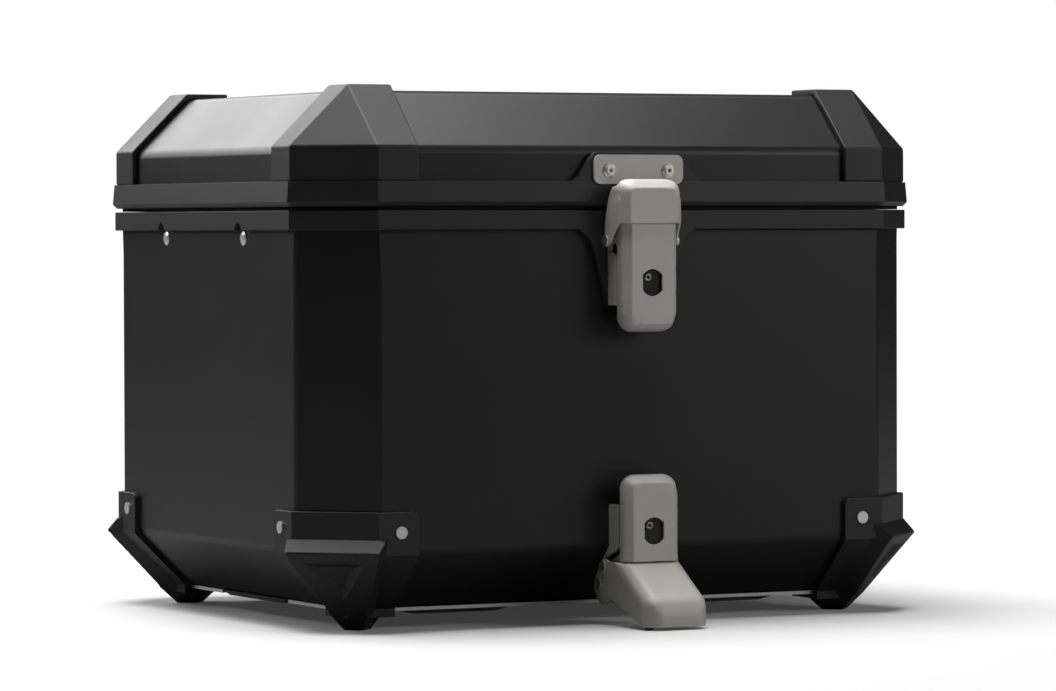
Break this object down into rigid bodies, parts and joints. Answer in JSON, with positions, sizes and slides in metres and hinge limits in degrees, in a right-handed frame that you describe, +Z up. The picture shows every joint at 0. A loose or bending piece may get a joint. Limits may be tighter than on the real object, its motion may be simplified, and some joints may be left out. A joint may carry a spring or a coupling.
{
  "type": "motorcycle top case",
  "caption": "Black aluminium motorcycle top case with moulded corners, stainless draw latches front and rear, a lift-off lid and a rack lock.",
  "frame": {"origin": "centre of the bottom of the object's bounding box, on the floor under the feet", "axes": "+Z up, -Y the front with the rack lock, +X to the right seen from the front"},
  "size_m": [0.4298, 0.4134, 0.3198],
  "materials": {
    "box_sheet": "satin",
    "lid_sheet": "satin",
    "moulded_black": "matt",
    "black_rubber": "matt",
    "lock_black": "semi-gloss",
    "zinc_steel": "satin",
    "bright_fastener": "polished",
    "bare_aluminium": "mill",
    "stainless": "bead-blasted"
  },
  "bodies": {
    "case": {"body_shell": "box_sheet", "body_collar": "moulded_black", "strap_anchor_left": "zinc_steel", "strap_anchor_right": "zinc_steel", "anchor_rivets": "bright_fastener", "protector_rivets": "bright_fastener", "latch_base_rivets": "bright_fastener", "base_plate": "bare_aluminium", "base_pads": "moulded_black", "front_latch_base": "stainless", "front_lever_pivot": "bright_fastener", "rear_latch_base": "stainless", "rear_lever_pivot": "bright_fastener", "rack_lock_base": "stainless", "rack_lever_pivot": "bright_fastener", "corner_protector_front_left": "moulded_black", "corner_protector_front_right": "moulded_black", "corner_protector_rear_left": "moulded_black", "corner_protector_rear_right": "moulded_black"},
    "lid": {"lid_shell": "lid_sheet", "lid_band": "moulded_black", "lid_seal": "black_rubber", "front_strike": "stainless", "front_strike_rivets": "bright_fastener", "rear_strike": "stainless", "rear_strike_rivets": "bright_fastener", "lid_cap_front_left": "moulded_black", "lid_cap_front_right": "moulded_black", "lid_cap_rear_left": "moulded_black", "lid_cap_rear_right": "moulded_black"},
    "front_lever_body": {"front_lever": "stainless", "front_lever_frame": "stainless", "front_hook_pin": "bright_fastener", "front_lock_barrel": "zinc_steel"},
    "front_lock_body": {"front_lock_core": "lock_black", "front_lock_cam": "zinc_steel"},
    "front_hook_body": {"front_hook": "stainless", "front_hook_claw": "stainless"},
    "rear_lever_body": {"rear_lever": "stainless", "rear_lever_frame": "stainless", "rear_hook_pin": "bright_fastener", "rear_lock_barrel": "zinc_steel"},
    "rear_lock_body": {"rear_lock_core": "lock_black", "rear_lock_cam": "zinc_steel"},
    "rear_hook_body": {"rear_hook": "stainless", "rear_hook_claw": "stainless"},
    "rack_lever_body": {"rack_lever": "stainless", "rack_lever_frame": "stainless", "rack_hook_pin": "bright_fastener", "rack_lock_barrel": "zinc_steel"},
    "rack_lock_body": {"rack_lock_core": "lock_black", "rack_lock_cam": "zinc_steel"},
    "rack_hook_body": {"rack_hook": "stainless", "rack_claw": "stainless", "rack_claw_pin": "bright_fastener", "rack_hook_buffer": "black_rubber"}
  },
  "joints": [
    {"name": "lid_hinge", "type": "hinge", "parent": "case", "child": "lid", "pos_m": [0, 0.19485, 0.2585], "axis": [-1, 0, 0], "range_deg": [0, 80]},
    {"name": "front_lever_hinge", "type": "hinge", "parent": "case", "child": "front_lever_body", "pos_m": [0, -0.15775, 0.2407], "axis": [-1, 0, 0], "range_deg": [0, 50]},
    {"name": "front_hook_hinge", "type": "hinge", "parent": "front_lever_body", "child": "front_hook_body", "pos_m": [0, -0.15815, 0.2277], "axis": [1, 0, 0], "range_deg": [0, 64.5]},
    {"name": "front_lock_turn", "type": "hinge", "parent": "front_lever_body", "child": "front_lock_body", "pos_m": [0, -0.16515, 0.203], "axis": [0, -1, 0], "range_deg": [0, 90]},
    {"name": "rear_lever_hinge", "type": "hinge", "parent": "case", "child": "rear_lever_body", "pos_m": [0, 0.18945, 0.2407], "axis": [1, 0, 0], "range_deg": [0, 50]},
    {"name": "rear_hook_hinge", "type": "hinge", "parent": "rear_lever_body", "child": "rear_hook_body", "pos_m": [0, 0.18985, 0.2277], "axis": [-1, 0, 0], "range_deg": [0, 64.5]},
    {"name": "rear_lock_turn", "type": "hinge", "parent": "rear_lever_body", "child": "rear_lock_body", "pos_m": [0, 0.19685, 0.203], "axis": [0, 1, 0], "range_deg": [0, 90]},
    {"name": "rack_lever_hinge", "type": "hinge", "parent": "case", "child": "rack_lever_body", "pos_m": [0, -0.14215, 0.034], "axis": [1, 0, 0], "range_deg": [0, 25]},
    {"name": "rack_hook_hinge", "type": "hinge", "parent": "rack_lever_body", "child": "rack_hook_body", "pos_m": [0, -0.14945, 0.035], "axis": [1, 0, 0], "range_deg": [0, 11]},
    {"name": "rack_lock_turn", "type": "hinge", "parent": "rack_lever_body", "child": "rack_lock_body", "pos_m": [0, -0.16635, 0.0565], "axis": [0, -1, 0], "range_deg": [0, 90]}
  ],
  "couplings": [
    {"joint": "front_hook_hinge", "follows": "front_lever_hinge", "ratio": 1.28},
    {"joint": "rear_hook_hinge", "follows": "rear_lever_hinge", "ratio": 1.28}
  ]
}
